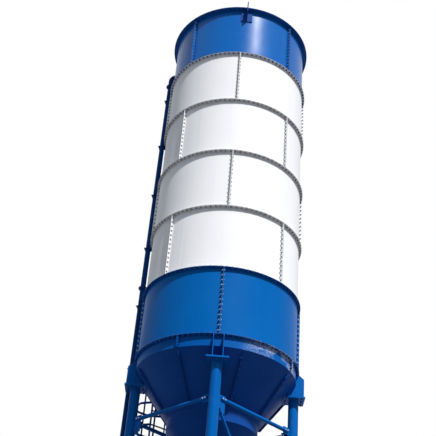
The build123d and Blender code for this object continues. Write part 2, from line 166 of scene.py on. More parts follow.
def add_noise(tree, place, scale, detail, roughness=0.5):
    noise = tree.nodes.new("ShaderNodeTexNoise")
    noise.inputs["Scale"].default_value = scale
    noise.inputs["Detail"].default_value = detail
    noise.inputs["Roughness"].default_value = roughness
    tree.links.new(place, noise.inputs["Vector"])
    return noise.outputs["Fac"]


def stretched_place(tree, scale):
    """Object coordinates, squeezed or stretched along each axis."""
    place = tree.nodes.new("ShaderNodeTexCoord")
    mapping = tree.nodes.new("ShaderNodeMapping")
    mapping.inputs["Scale"].default_value = scale
    tree.links.new(place.outputs["Object"], mapping.inputs["Vector"])
    return mapping.outputs["Vector"]


def add_range(tree, value, low, high, to_low=0.0, to_high=1.0):
    ranger = tree.nodes.new("ShaderNodeMapRange")
    ranger.interpolation_type = "SMOOTHSTEP"
    ranger.inputs["From Min"].default_value = low
    ranger.inputs["From Max"].default_value = high
    ranger.inputs["To Min"].default_value = to_low
    ranger.inputs["To Max"].default_value = to_high
    tree.links.new(value, ranger.inputs["Value"])
    return ranger.outputs["Result"]


def add_math(tree, operation, first, second):
    node = tree.nodes.new("ShaderNodeMath")
    node.operation = operation
    for socket, value in zip(node.inputs, (first, second)):
        if isinstance(value, (int, float)):
            socket.default_value = value
        else:
            tree.links.new(value, socket)
    return node.outputs["Value"]


def add_mix(tree, factor, first, second):
    mix = tree.nodes.new("ShaderNodeMix")
    mix.data_type = "RGBA"
    tree.links.new(factor, mix.inputs["Factor"])
    for socket, value in ((mix.inputs[6], first), (mix.inputs[7], second)):
        if isinstance(value, tuple):
            socket.default_value = value
        else:
            tree.links.new(value, socket)
    return mix.outputs[2]


def make_rain_marks():
    """Narrow runs that rain leaves down an upright sheet."""
    tree, given, result = shader_group(
        "rain_marks", [("Amount", "NodeSocketFloat", 0.5)], [("Mask", "NodeSocketFloat")])
    wide = add_noise(tree, stretched_place(tree, (2.4, 2.4, 0.16)), 1.0, 3.0)
    fine = add_noise(tree, stretched_place(tree, (17.0, 17.0, 0.5)), 1.0, 4.0)
    broad_runs = add_range(tree, wide, 0.42, 0.66)
    thin_runs = add_range(tree, fine, 0.45, 0.72)
    runs = add_math(tree, "MULTIPLY", broad_runs, thin_runs)
    tree.links.new(add_math(tree, "MULTIPLY", runs, given.outputs["Amount"]), result.inputs["Mask"])
    return tree


def make_dust_film():
    """Soft uneven patches of cement dust and faded paint."""
    tree, given, result = shader_group(
        "dust_film", [("Amount", "NodeSocketFloat", 0.5)], [("Mask", "NodeSocketFloat")])
    broad = add_noise(tree, stretched_place(tree, (0.7, 0.7, 0.45)), 1.0, 4.0, 0.6)
    grain = add_noise(tree, stretched_place(tree, (34.0, 34.0, 34.0)), 1.0, 3.0)
    cloud = add_range(tree, broad, 0.35, 0.7)
    speck = add_range(tree, grain, 0.3, 0.75, 0.55, 1.0)
    film = add_math(tree, "MULTIPLY", cloud, speck)
    tree.links.new(add_math(tree, "MULTIPLY", film, given.outputs["Amount"]), result.inputs["Mask"])
    return tree


def make_flange_grime():
    """Dirt that gathers at both flanges of a course and fades away from them."""
    tree, given, result = shader_group(
        "flange_grime", [("Amount", "NodeSocketFloat", 0.5)], [("Mask", "NodeSocketFloat")])
    place = tree.nodes.new("ShaderNodeTexCoord")
    split = tree.nodes.new("ShaderNodeSeparateXYZ")
    tree.links.new(place.outputs["Object"], split.inputs["Vector"])
    above = add_math(tree, "SUBTRACT", split.outputs["Z"], belly_height)
    share = add_math(tree, "FRACT", add_math(tree, "DIVIDE", above, course_height), 0.0)
    under_top = add_range(tree, share, 0.86, 0.995)
    on_foot = add_range(tree, share, 0.0, 0.05, 1.0, 0.0)
    both = add_math(tree, "MAXIMUM", under_top, on_foot)
    patches = add_noise(tree, stretched_place(tree, (9.0, 9.0, 3.0)), 1.0, 4.0, 0.6)
    mask = add_math(tree, "MULTIPLY", both, add_range(tree, patches, 0.3, 0.7))
    tree.links.new(add_math(tree, "MULTIPLY", mask, given.outputs["Amount"]), result.inputs["Mask"])
    return tree


def make_rolled_sheet():
    """The slight waves that rolling leaves in a sheet, under a sprayed skin of paint."""
    tree, given, result = shader_group(
        "rolled_sheet",
        [("Waves", "NodeSocketFloat", 1.0), ("Spray", "NodeSocketFloat", 1.0)],
        [("Height", "NodeSocketFloat")])
    waves = add_noise(tree, stretched_place(tree, (1.5, 1.5, 0.7)), 1.0, 2.0)
    spray = add_noise(tree, stretched_place(tree, (160.0, 160.0, 160.0)), 1.0, 2.0)
    high = add_math(tree, "MULTIPLY", waves, given.outputs["Waves"])
    low = add_math(tree, "MULTIPLY", spray, given.outputs["Spray"])
    tree.links.new(add_math(tree, "ADD", high, low), result.inputs["Height"])
    return tree


def make_paint_chips():
    """Small knocks through to the primer, few and far between."""
    tree, given, result = shader_group(
        "paint_chips", [("Amount", "NodeSocketFloat", 0.5)], [("Mask", "NodeSocketFloat")])
    spots = add_noise(tree, stretched_place(tree, (26.0, 26.0, 26.0)), 1.0, 5.0, 0.65)
    areas = add_noise(tree, stretched_place(tree, (2.1, 2.1, 2.1)), 1.0, 2.0)
    knocks = add_range(tree, spots, 0.66, 0.69)
    groups = add_range(tree, areas, 0.5, 0.62)
    chips = add_math(tree, "MULTIPLY", knocks, groups)
    tree.links.new(add_math(tree, "MULTIPLY", chips, given.outputs["Amount"]), result.inputs["Mask"])
    return tree


def make_beam_scuffs_and_highlight():
    """Chalky scuffs where slings have rubbed the ring beam, on the right of the front, where the sun
    falls; their paleness is partly a painted highlight.
    """
    tree, given, result = shader_group(
        "beam_scuffs_and_highlight", [("Amount", "NodeSocketFloat", 0.5)], [("Mask", "NodeSocketFloat")])
    place = tree.nodes.new("ShaderNodeTexCoord")
    split = tree.nodes.new("ShaderNodeSeparateXYZ")
    tree.links.new(place.outputs["Object"], split.inputs["Vector"])
    # The marks keep to the front right, the side the sun lights: partly chalky wear, partly a
    # painted highlight.
    side = add_range(tree, split.outputs["X"], 0.35, 1.0)
    front = add_range(tree, split.outputs["Y"], -0.9, -0.3, 1.0, 0.0)
    grain = add_noise(tree, stretched_place(tree, (30.0, 30.0, 44.0)), 1.0, 5.0, 0.7)
    broad = add_noise(tree, stretched_place(tree, (3.0, 3.0, 5.0)), 1.0, 2.0)
    specks = add_range(tree, grain, 0.4, 0.56)
    clouds = add_range(tree, broad, 0.34, 0.54)
    rubbed_and_lit = add_math(tree, "MULTIPLY", specks, clouds)
    mask = add_math(tree, "MULTIPLY", add_math(tree, "MULTIPLY", side, front), rubbed_and_lit)
    tree.links.new(add_math(tree, "MULTIPLY", mask, given.outputs["Amount"]), result.inputs["Mask"])
    return tree


rain_marks = make_rain_marks()
dust_film = make_dust_film()
flange_grime = make_flange_grime()
rolled_sheet = make_rolled_sheet()
paint_chips = make_paint_chips()
beam_scuffs_and_highlight = make_beam_scuffs_and_highlight()


# Materials

def new_finish(name):
    """A material with a Principled shader; gives back the material, its tree and the shader."""
    finish = bpy.data.materials.new(name)
    finish.use_nodes = True
    tree = finish.node_tree
    tree.nodes.clear()
    output = tree.nodes.new("ShaderNodeOutputMaterial")
    shader = tree.nodes.new("ShaderNodeBsdfPrincipled")
    tree.links.new(shader.outputs["BSDF"], output.inputs["Surface"])
    return finish, tree, shader


def use_group(tree, group, **values):
    node = tree.nodes.new("ShaderNodeGroup")
    node.node_tree = group
    for label, value in values.items():
        node.inputs[label].default_value = value
    return node.outputs[0]


def add_bump(tree, shader, height, strength, distance):
    bump = tree.nodes.new("ShaderNodeBump")
    bump.inputs["Strength"].default_value = strength
    bump.inputs["Distance"].default_value = distance
    tree.links.new(height, bump.inputs["Height"])
    tree.links.new(bump.outputs["Normal"], shader.inputs["Normal"])


def painted_sheet(name, paint, faded, dirt, roughness, waves, fading, rain,
                  grime=0.0, chipping=0.0, scuffing_and_highlight=0.0, shine=0.03):
    """Sprayed enamel on rolled sheet, with a share of each kind of wear; the scuffs are partly a
    painted highlight.
    """
    finish, tree, shader = new_finish(name)
    colour = add_mix(tree, use_group(tree, dust_film, Amount=fading), paint, faded)
    colour = add_mix(tree, use_group(tree, rain_marks, Amount=rain), colour, dirt)
    if grime:
        colour = add_mix(tree, use_group(tree, flange_grime, Amount=grime), colour, dirt)
    if chipping:
        primer = (0.28, 0.29, 0.3, 1.0)
        colour = add_mix(tree, use_group(tree, paint_chips, Amount=chipping), colour, primer)
    if scuffing_and_highlight:
        # Pale scuffs that are partly a painted highlight of the sun.
        chalk_and_highlight = (0.5, 0.55, 0.62, 1.0)
        colour = add_mix(tree, use_group(tree, beam_scuffs_and_highlight, Amount=scuffing_and_highlight), colour, chalk_and_highlight)
    tree.links.new(colour, shader.inputs["Base Color"])
    dull = use_group(tree, dust_film, Amount=1.0)
    tree.links.new(add_range(tree, dull, 0.0, 1.0, roughness, roughness + 0.16),
                   shader.inputs["Roughness"])
    shader.inputs["Specular IOR Level"].default_value = shine
    height = use_group(tree, rolled_sheet, Waves=waves, Spray=0.012)
    add_bump(tree, shader, height, strength=1.0, distance=0.02)
    return finish


white_enamel = painted_sheet(
    "white_enamel", (0.80, 0.80, 0.82, 1.0), (0.74, 0.745, 0.77, 1.0), (0.42, 0.42, 0.44, 1.0),
    roughness=0.42, waves=0.3, fading=0.5, rain=0.14, grime=0.35)
blue_enamel = painted_sheet(
    "blue_enamel", (0.0006, 0.1, 0.37, 1.0), (0.002, 0.125, 0.4, 1.0), (0.003, 0.085, 0.3, 1.0),
    roughness=0.34, waves=0.35, fading=0.7, rain=0.2, grime=0.3, chipping=0.25)
top_enamel = painted_sheet(
    "top_enamel", (0.0006, 0.1, 0.39, 1.0), (0.002, 0.125, 0.43, 1.0), (0.003, 0.08, 0.28, 1.0),
    roughness=0.25, waves=0.3, fading=0.7, rain=0.2, grime=0.3, chipping=0.25, shine=0.09)
# The pale specks on the beam's sunlit front right are chalky scuffs and partly a painted highlight.
beam_enamel = painted_sheet(
    "beam_enamel", (0.0008, 0.075, 0.32, 1.0), (0.003, 0.11, 0.4, 1.0), (0.008, 0.075, 0.2, 1.0),
    roughness=0.34, waves=0.3, fading=0.8, rain=0.3, chipping=0.6, scuffing_and_highlight=0.9)
# A darker copy of the blue enamel; its darkness is painted shade. The hopper, lugs, outlet neck and
# hopper seam bolts wear it.
shaded_blue_enamel = painted_sheet(
    "shaded_blue_enamel", (0.005, 0.055, 0.27, 1.0), (0.012, 0.075, 0.31, 1.0), (0.03, 0.06, 0.17, 1.0),
    roughness=0.42, waves=0.6, fading=0.9, rain=0.3, chipping=0.3)
steelwork_enamel = painted_sheet(
    "steelwork_enamel", (0.0006, 0.098, 0.375, 1.0), (0.002, 0.118, 0.41, 1.0),
    (0.004, 0.06, 0.2, 1.0), roughness=0.36, waves=0.06, fading=0.7, rain=0.3, chipping=0.6)
pipe_enamel = painted_sheet(
    "pipe_enamel", (0.001, 0.035, 0.17, 1.0), (0.004, 0.055, 0.22, 1.0), (0.02, 0.04, 0.12, 1.0),
    roughness=0.38, waves=0.05, fading=0.8, rain=0.35, chipping=0.5)
ladder_enamel = painted_sheet(
    "ladder_enamel", (0.001, 0.05, 0.23, 1.0), (0.006, 0.075, 0.28, 1.0), (0.03, 0.05, 0.12, 1.0),
    roughness=0.42, waves=0.02, fading=0.8, rain=0.2, chipping=0.8)


def bolt_paint_finish():
    """Blue enamel over bolt heads, thin on their corners."""
    finish, tree, shader = new_finish("painted_bolts")
    patches = add_noise(tree, stretched_place(tree, (48.0, 48.0, 48.0)), 1.0, 4.0)
    worn = add_range(tree, patches, 0.52, 0.72)
    colour = add_mix(tree, worn, (0.0015, 0.09, 0.37, 1.0), (0.1, 0.17, 0.32, 1.0))
    tree.links.new(colour, shader.inputs["Base Color"])
    tree.links.new(add_range(tree, worn, 0.0, 1.0, 0.38, 0.55), shader.inputs["Roughness"])
    shader.inputs["Specular IOR Level"].default_value = 0.15
    fine = add_noise(tree, stretched_place(tree, (380.0, 380.0, 380.0)), 1.0, 2.0)
    add_bump(tree, shader, fine, strength=0.3, distance=0.0006)
    return finish


def zinc_finish(name, dark, light):
    """Zinc on bolts, in patches of a dark and a light tone."""
    finish, tree, shader = new_finish(name)
    patches = add_noise(tree, stretched_place(tree, (55.0, 55.0, 55.0)), 1.0, 4.0)
    mottle = add_range(tree, patches, 0.3, 0.7)
    tree.links.new(add_mix(tree, mottle, dark, light), shader.inputs["Base Color"])
    tree.links.new(add_range(tree, mottle, 0.0, 1.0, 0.62, 0.42), shader.inputs["Roughness"])
    shader.inputs["Metallic"].default_value = 0.55
    fine = add_noise(tree, stretched_place(tree, (420.0, 420.0, 420.0)), 1.0, 2.0)
    add_bump(tree, shader, fine, strength=0.3, distance=0.0006)
    return finish


def seal_finish():
    """Dark butyl strip, a little dusty."""
    finish, tree, shader = new_finish("butyl_strip")
    dust = use_group(tree, dust_film, Amount=0.5)
    tree.links.new(add_mix(tree, dust, (0.03, 0.03, 0.032, 1.0), (0.13, 0.13, 0.13, 1.0)),
                   shader.inputs["Base Color"])
    tree.links.new(add_range(tree, dust, 0.0, 1.0, 0.6, 0.85), shader.inputs["Roughness"])
    lumps = add_noise(tree, stretched_place(tree, (60.0, 60.0, 22.0)), 1.0, 3.0)
    add_bump(tree, shader, lumps, strength=0.6, distance=0.002)
    return finish


def weld_finish():
    """Painted weld beads with the ripples of the run showing through."""
    finish, tree, shader = new_finish("painted_weld")
    dust = use_group(tree, dust_film, Amount=0.8)
    colour = add_mix(tree, dust, (0.0015, 0.08, 0.36, 1.0), (0.006, 0.12, 0.42, 1.0))
    tree.links.new(colour, shader.inputs["Base Color"])
    tree.links.new(add_range(tree, dust, 0.0, 1.0, 0.36, 0.5), shader.inputs["Roughness"])
    shader.inputs["Specular IOR Level"].default_value = 0.12
    ripple = add_noise(tree, stretched_place(tree, (190.0, 190.0, 190.0)), 1.0, 2.0)
    add_bump(tree, shader, ripple, strength=0.8, distance=0.002)
    return finish


def coupling_finish():
    """Cast aluminium, dull and slightly pitted."""
    finish, tree, shader = new_finish("cast_aluminium")
    patches = add_noise(tree, stretched_place(tree, (70.0, 70.0, 70.0)), 1.0, 5.0)
    mottle = add_range(tree, patches, 0.3, 0.7)
    colour = add_mix(tree, mottle, (0.4, 0.41, 0.42, 1.0), (0.62, 0.63, 0.64, 1.0))
    tree.links.new(colour, shader.inputs["Base Color"])
    tree.links.new(add_range(tree, mottle, 0.0, 1.0, 0.5, 0.34), shader.inputs["Roughness"])
    shader.inputs["Metallic"].default_value = 0.9
    pits = add_noise(tree, stretched_place(tree, (300.0, 300.0, 300.0)), 1.0, 3.0)
    add_bump(tree, shader, pits, strength=0.5, distance=0.001)
    return finish


weathered_zinc = zinc_finish("weathered_zinc", (0.15, 0.145, 0.14, 1.0), (0.32, 0.31, 0.3, 1.0))
# A lighter copy of the zinc for the tie bolts; its extra lightness is a painted glint.
glint_painted_zinc = zinc_finish("glint_painted_zinc", (0.28, 0.31, 0.36, 1.0), (0.5, 0.53, 0.58, 1.0))
half_painted_zinc = zinc_finish(
    "half_painted_zinc", (0.02, 0.09, 0.25, 1.0), (0.26, 0.32, 0.4, 1.0))
painted_bolts = bolt_paint_finish()
butyl_strip = seal_finish()
painted_weld = weld_finish()
cast_aluminium = coupling_finish()

# The lugs and the outlet neck take the darker enamel, whose darkness is painted shade.
finishes = {
    "lifting_lugs": shaded_blue_enamel, "outlet_neck": shaded_blue_enamel, "pipe_clamps": pipe_enamel,
    "ladder": ladder_enamel, "ladder_rungs": ladder_enamel, "ladder_arms": ladder_enamel,
    "cage_hoops": ladder_enamel, "cage_straps": ladder_enamel, "hose_coupling": cast_aluminium,
}
for name, node in nodes.items():
    finish = finishes.get(name, steelwork_enamel)
    if not node.data.materials:
        node.data.materials.append(finish)
    for index in range(len(node.data.materials)):
        node.data.materials[index] = finish


# Helpers for the new pieces

def finished_piece(name, bm, finish, smooth_angle=35):
    """Turn a bmesh into a piece that rides on the silo."""
    mesh = bpy.data.meshes.new(name)
    for face in bm.faces:
        face.smooth = True
    bm.to_mesh(mesh)
    bm.free()
    mesh.set_sharp_from_angle(angle=radians(smooth_angle))
    mesh.materials.append(finish)
    piece = bpy.data.objects.new(name, mesh)
    bpy.context.scene.collection.objects.link(piece)
    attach(piece, "root")
    return piece


def at_azimuth(azimuth, radius, height):
    """The place of something built on the front, facing -Y, once it is turned to its azimuth."""
    return Matrix.Rotation(radians(azimuth), 4, "Z") @ Matrix.Translation((0, -radius, height))


def in_bay(bay):
    """The place of a bay's own frame, X from one leg to the next and Y across."""
    turn = Matrix.Rotation(radians(90 * bay), 4, "Z")
    return turn @ Matrix.Translation((0, -leg_circle, 0)) @ Matrix.Rotation(radians(45), 4, "Z")


def add_prism(bm, sides, radius, low, high, top_radius=None):
    """An upright prism about the Z axis."""
    place = Matrix.Translation((0, 0, (low + high) / 2))
    return bmesh.ops.create_cone(
        bm, cap_ends=True, segments=sides, radius1=radius, radius2=top_radius or radius,
        depth=high - low, matrix=place)["verts"]


def add_hexagon(bm, across_flats, low, high, crown_up=True):
    """A hexagon head or nut, its outer corners taken off."""
    radius = across_flats / sqrt(3)
    verts = add_prism(bm, 6, radius, low, high)
    crown = high if crown_up else low
    edges = [e for e in {e for v in verts for e in v.link_edges}
             if all(abs(v.co.z - crown) < 1e-6 for v in e.verts)]
    bmesh.ops.bevel(bm, geom=edges, offset=across_flats * 0.07, segments=1, profile=0.5,
                    affect="EDGES", material=-1)


def as_shape(name, bm):
    """Turn a bmesh into a shape that pieces repeat."""
    shape = bpy.data.meshes.new(name)
    bm.to_mesh(shape)
    bm.free()
    return shape


def bolt_shape(name, across_flats, grip):
    """A bolt, its washers and its nut, with the plates' middle at the origin and the head up."""
    washer = across_flats * 0.12
    washer_radius = across_flats * 0.64
    head = across_flats * 0.42
    nut = across_flats * 0.54
    thread = across_flats * 0.85
    sides = 8
    half = grip / 2
    bm = bmesh.new()
    add_prism(bm, sides, washer_radius, half, half + washer)
    add_hexagon(bm, across_flats, half + washer, half + washer + head)
    add_prism(bm, sides, washer_radius, -half - washer, -half)
    add_hexagon(bm, across_flats, -half - washer - nut, -half - washer, crown_up=False)
    add_prism(bm, sides, across_flats / 3, -half - washer - thread, -half - washer)
    return as_shape(name, bm)


def repeated(name, shape, places, finish):
    """One piece made of a shape at each of its places."""
    bm = bmesh.new()
    for place in places:
        once = shape.copy()
        once.transform(place)
        bm.from_mesh(once)
        bpy.data.meshes.remove(once)
    return finished_piece(name, bm, finish)


def add_swept(bm, points, start, end, steps):
    """Carry a closed outline of radius and height round the Z axis, between two azimuths."""
    turn = Matrix.Rotation(radians(start - 90), 4, "Z")
    verts = [bm.verts.new(turn @ Vector((r, 0, z))) for r, z in points]
    edges = [bm.edges.new(pair) for pair in zip(verts, verts[1:] + verts[:1])]
    last = bmesh.ops.spin(bm, geom=verts + edges, cent=(0, 0, 0), axis=(0, 0, 1),
                          angle=radians(end - start), steps=steps)["geom_last"]
    rims = edges + [e for e in last if isinstance(e, bmesh.types.BMEdge)]
    bmesh.ops.edgeloop_fill(bm, edges=rims)


def add_revolved(bm, points, steps):
    """Carry an outline of radius and height all the way round the Z axis.

    A closed outline ends on its first point.
    """
    closed = points[0] == points[-1]
    verts = [bm.verts.new((r, 0, z)) for r, z in (points[:-1] if closed else points)]
    ends = verts[1:] + verts[:1] if closed else verts[1:]
    edges = [bm.edges.new(pair) for pair in zip(verts, ends)]
    bmesh.ops.spin(bm, geom=verts + edges, cent=(0, 0, 0), axis=(0, 0, 1),
                   angle=radians(360), steps=steps, use_merge=True)


def add_upright_plate(bm, points, azimuth, near, far):
    """A plate in the upright plane through the axis, from its outline of radius and height."""
    turn = Matrix.Rotation(radians(azimuth - 90), 4, "Z")
    face = bm.faces.new([bm.verts.new(turn @ Vector((r, near, z))) for r, z in points])
    moved = bmesh.ops.extrude_face_region(bm, geom=[face])["geom"]
    bmesh.ops.translate(bm, vec=turn.to_3x3() @ Vector((0, far - near, 0)),
                        verts=[v for v in moved if isinstance(v, bmesh.types.BMVert)])


def add_seam_flanges(bm, points, azimuth):
    """The two bolting flanges that face each other across a seam."""
    gap = seam_gap / 2
    add_upright_plate(bm, points, azimuth, gap, gap + flange_thickness)
    add_upright_plate(bm, points, azimuth, -gap - flange_thickness, -gap)


def round_piece(name, bm, finish, slot, *replaced):
    """Show a piece that is round in the place of a solid that has flat sides."""
    bmesh.ops.recalc_face_normals(bm, faces=bm.faces)
    piece = finished_piece(name, bm, finish)
    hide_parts(*replaced)


# The rolled sheets

def seam_azimuths(index):
    """The four upright seams of a course; the next course's stand half a panel further on."""
    start = 0 if index % 2 == 0 else 45
    return [start + 90 * i for i in range(4)]


def half_gap(radius):
    """Half of a seam's gap, in degrees round the axis."""
    return degrees(seam_gap / 2 / radius)


def course_sheets():
    """The panels of each course, rolled round, with the flanges of the solids."""
    inner = shell_radius - sheet_thickness
    outer = shell_radius + flange_reach
    half = half_gap(shell_radius)
    for index, name in enumerate(course_names):
        low = ring_heights[index]
        high = low + course_height
        foot = low + flange_thickness
        head = high - flange_thickness
        outline = [(inner, low), (outer, low), (outer, foot), (shell_radius, foot),
                   (shell_radius, head), (outer, head), (outer, high), (inner, high)]
        seam = [(inner, low), (outer, low), (outer, high), (inner, high)]
        bm = bmesh.new()
        for azimuth in seam_azimuths(index):
            add_swept(bm, outline, azimuth + half, azimuth + 90 - half, course_steps)
            add_seam_flanges(bm, seam, azimuth)
        blue = name in ("base_course", "top_course")
        finish = {"base_course": blue_enamel, "top_course": top_enamel}.get(name, white_enamel)
        round_piece(name + "_sheets", bm, finish, "blue_paint" if blue else "white_paint", name)


def beam_sheets():
    """The ring beam, rolled round, in its four lengths."""
    inner = shell_radius - beam_thickness
    outer = shell_radius + flange_reach
    half = half_gap(shell_radius)
    under = belly_height - flange_thickness
    outline = [(inner, beam_bottom), (shell_radius, beam_bottom), (shell_radius, under),
               (outer, under), (outer, belly_height), (inner, belly_height)]
    seam = [(inner, beam_bottom), (outer, beam_bottom),
            (outer, belly_height), (inner, belly_height)]
    bm = bmesh.new()
    for i in range(4):
        azimuth = beam_seam_azimuth + 90 * i
        add_swept(bm, outline, azimuth + half, azimuth + 90 - half, course_steps)
        add_seam_flanges(bm, seam, azimuth)
    round_piece("ring_beam_sheets", bm, beam_enamel, "blue_paint", "ring_beam")


def hopper_radius(height):
    """The cone's outer radius at a height."""
    return hopper_top_radius - (beam_bottom - height) / tan(hopper_slope)


def hopper_sheets():
    """The cone panels, rolled round, with a collar inside the beam and flanged seams."""
    collar = beam_bottom + hopper_collar
    half = half_gap(lower_hopper_radius)
    inside = hopper_top_radius - hopper_sheet
    outline = [(hopper_top_radius, collar), (hopper_top_radius, beam_bottom),
               (lower_hopper_radius, hopper_bottom),
               (lower_hopper_radius - hopper_wall, hopper_bottom),
               (inside, beam_bottom), (inside, collar)]
    out = hopper_seam_reach / sin(hopper_slope)
    high = beam_bottom - out
    low = hopper_bottom + out
    seam = [(hopper_radius(high) - hopper_wall / 2, high), (hopper_radius(high) + out, high),
            (hopper_radius(low) + out, low), (hopper_radius(low) - hopper_wall / 2, low)]
    turn = 360 / hopper_panels
    bm = bmesh.new()
    for i in range(hopper_panels):
        azimuth = beam_seam_azimuth + turn * i
        add_swept(bm, outline, azimuth + half, azimuth + turn - half, hopper_steps)
        add_seam_flanges(bm, seam, azimuth)
    round_piece("hopper_sheets", bm, shaded_blue_enamel, "blue_paint", "hopper")


def lower_hopper_sheets():
    """The upright ring and the cone that is welded under it."""
    inside = lower_hopper_radius - hopper_wall
    outline = [(lower_hopper_radius, hopper_bottom), (lower_hopper_radius, lower_hopper_top),
               (outlet_radius, outlet_height), (outlet_radius - hopper_wall, outlet_height),
               (inside, lower_hopper_top), (inside, hopper_bottom),
               (lower_hopper_radius, hopper_bottom)]
    bm = bmesh.new()
    add_revolved(bm, outline, lower_hopper_steps)
    round_piece("lower_hopper_sheets", bm, shaded_blue_enamel, "blue_paint",
                "hopper_ring", "lower_hopper")


# The roof

def roof_height(radius):
    """The roof's height at a distance from the axis."""
    return rim_height + rim_thickness + (shell_radius - radius) * tan(roof_slope)


def roof_sheets():
    """The rim and the shallow cone on it."""
    rim = shell_radius + rim_reach
    rim_top = rim_height + rim_thickness
    top = roof_height(roof_cap_radius)
    cap_overlap = 0.004
    cap_thickness = 0.01
    cap_sides = 32
    bm = bmesh.new()
    add_revolved(bm, [(shell_radius - rim_inset, rim_height), (rim, rim_height), (rim, rim_top),
                      (shell_radius, rim_top), (roof_cap_radius, top)], roof_steps)
    add_prism(bm, cap_sides, roof_cap_radius + cap_overlap, top - cap_thickness, top)
    round_piece("roof_sheets", bm, blue_enamel, "blue_paint", "roof")


def manhole_pieces():
    """The round neck on the roof, and its lid with a turned-down lip."""
    place = at_azimuth(manhole_azimuth, manhole_distance, 0)
    top = roof_height(manhole_distance - manhole_radius) + manhole_neck
    foot = rim_height + 0.02
    inner = manhole_radius - manhole_wall
    neck = bmesh.new()
    add_revolved(neck, [(manhole_radius, foot), (manhole_radius, top), (inner, top),
                        (inner, foot), (manhole_radius, foot)], manhole_steps)
    neck.transform(place)
    round_piece("manhole_neck", neck, blue_enamel, "blue_paint", "roof_manhole")
    lip = manhole_radius + lid_overhang
    edge = 0.003
    middle = 0.02
    middle_sides = 16
    lid = bmesh.new()
    add_revolved(lid, [(lip - lid_sheet, top), (lip - lid_sheet, top - lid_lip),
                       (lip, top - lid_lip), (lip, top + lid_sheet - edge),
                       (lip - edge, top + lid_sheet), (middle, top + lid_sheet)], manhole_steps)
    add_prism(lid, middle_sides, middle + 0.001, top, top + lid_sheet)
    lid.transform(place)
    round_piece("manhole_lid", lid, blue_enamel, "blue_paint", "manhole_cover")


# The tubes

leg_names = ["front_leg", "right_leg", "back_leg", "left_leg"]


def leg_tubes():
    for index, name in enumerate(leg_names):
        bm = bmesh.new()
        add_prism(bm, tube_sides, leg_radius, base_plate, bracket_bottom - head_plate)
        bm.transform(at_azimuth(90 * index, leg_circle, 0))
        round_piece(name + "_tube", bm, steelwork_enamel, "blue_paint", name)


def add_bar(bm, radius, start, end, place):
    """A round bar along X."""
    lie = Matrix.Translation(((start + end) / 2, 0, 0)) @ lay_across
    bmesh.ops.create_cone(bm, cap_ends=True, segments=bar_sides, radius1=radius, radius2=radius,
                          depth=end - start, matrix=place @ lie)


def brace_places(start, end):
    """The frames of the four diagonals between two levels, with X along each."""
    slope = Matrix.Rotation(atan2(start - end, bay_length), 4, "Y")
    return [in_bay(bay) @ Matrix.Translation((0, 0, start)) @ slope for bay in range(4)]


def tie_and_brace_tubes():
    """Round tubes over the plates that hold them."""
    for name, height in zip(["base_ties", "middle_ties", "top_ties"], tie_heights):
        bm = bmesh.new()
        for bay in range(4):
            add_bar(bm, tie_radius, tie_start, bay_length - tie_start,
                    in_bay(bay) @ Matrix.Translation((0, 0, height)))
        round_piece(name + "_tubes", bm, steelwork_enamel, "blue_paint", name)
    for name, start, end in (("lower_braces", base_tie, middle_tie),
                             ("upper_braces", top_tie, middle_tie)):
        bm = bmesh.new()
        for place in brace_places(start, end):
            add_bar(bm, brace_radius, brace_start, brace_length - brace_start, place)
        round_piece(name + "_tubes", bm, steelwork_enamel, "blue_paint", name)


def pipe_tubes():
    """The lengths of the fill pipe, with their flanges, and the bend into the top course."""
    place = at_azimuth(pipe_azimuth, pipe_circle, 0)
    joint, top = pipe_joints
    for name, low, high, flanges in (
            ("fill_pipe_lower", pipe_foot, joint, [joint - pipe_flange]),
            ("fill_pipe_upper", joint, top, [joint, top - pipe_flange])):
        bm = bmesh.new()
        add_prism(bm, pipe_sides, pipe_radius, low, high)
        for flange in flanges:
            add_prism(bm, tube_sides, pipe_flange_radius, flange, flange + pipe_flange)
        bm.transform(place)
        round_piece(name + "_tube", bm, pipe_enamel, "blue_paint", name)
    bm = bmesh.new()
    add_prism(bm, tube_sides, pipe_flange_radius, top, top + pipe_flange)
    circle = bmesh.ops.create_circle(bm, segments=pipe_sides, radius=pipe_radius,
                                     matrix=Matrix.Translation((0, 0, top)))
    edges = list({e for v in circle["verts"] for e in v.link_edges})
    moved = bmesh.ops.extrude_edge_only(bm, edges=edges)["geom"]
    riser = [v for v in moved if isinstance(v, bmesh.types.BMVert)]
    bend_start = inlet_height - pipe_bend
    bmesh.ops.translate(bm, vec=(0, 0, bend_start - top), verts=riser)
    last = [e for e in moved if isinstance(e, bmesh.types.BMEdge)]
    bmesh.ops.spin(bm, geom=riser + last, cent=(0, pipe_bend, bend_start), axis=(-1, 0, 0),
                   angle=radians(90), steps=16)
    bm.transform(place)
    round_piece("fill_pipe_bend", bm, pipe_enamel, "blue_paint", "fill_pipe_elbow")


# Bolts of the ring joints

def ring_azimuths():
    pitch = 360 / ring_bolt_count
    return [(i + 0.5) * pitch for i in range(ring_bolt_count)]


def apart(first, second):
    """Smallest angle between two azimuths."""
    return abs((first - second + 180) % 360 - 180)


ring_bolt = bolt_shape("ring_bolt", shell_bolt_flats, 2 * flange_thickness)
arm_bolt = bolt_shape("arm_bolt", shell_bolt_flats, 3 * flange_thickness)
rim_bolt = bolt_shape("rim_bolt", shell_bolt_flats, flange_thickness + rim_thickness)
seam_bolt = bolt_shape("seam_bolt", shell_bolt_flats, seam_grip)


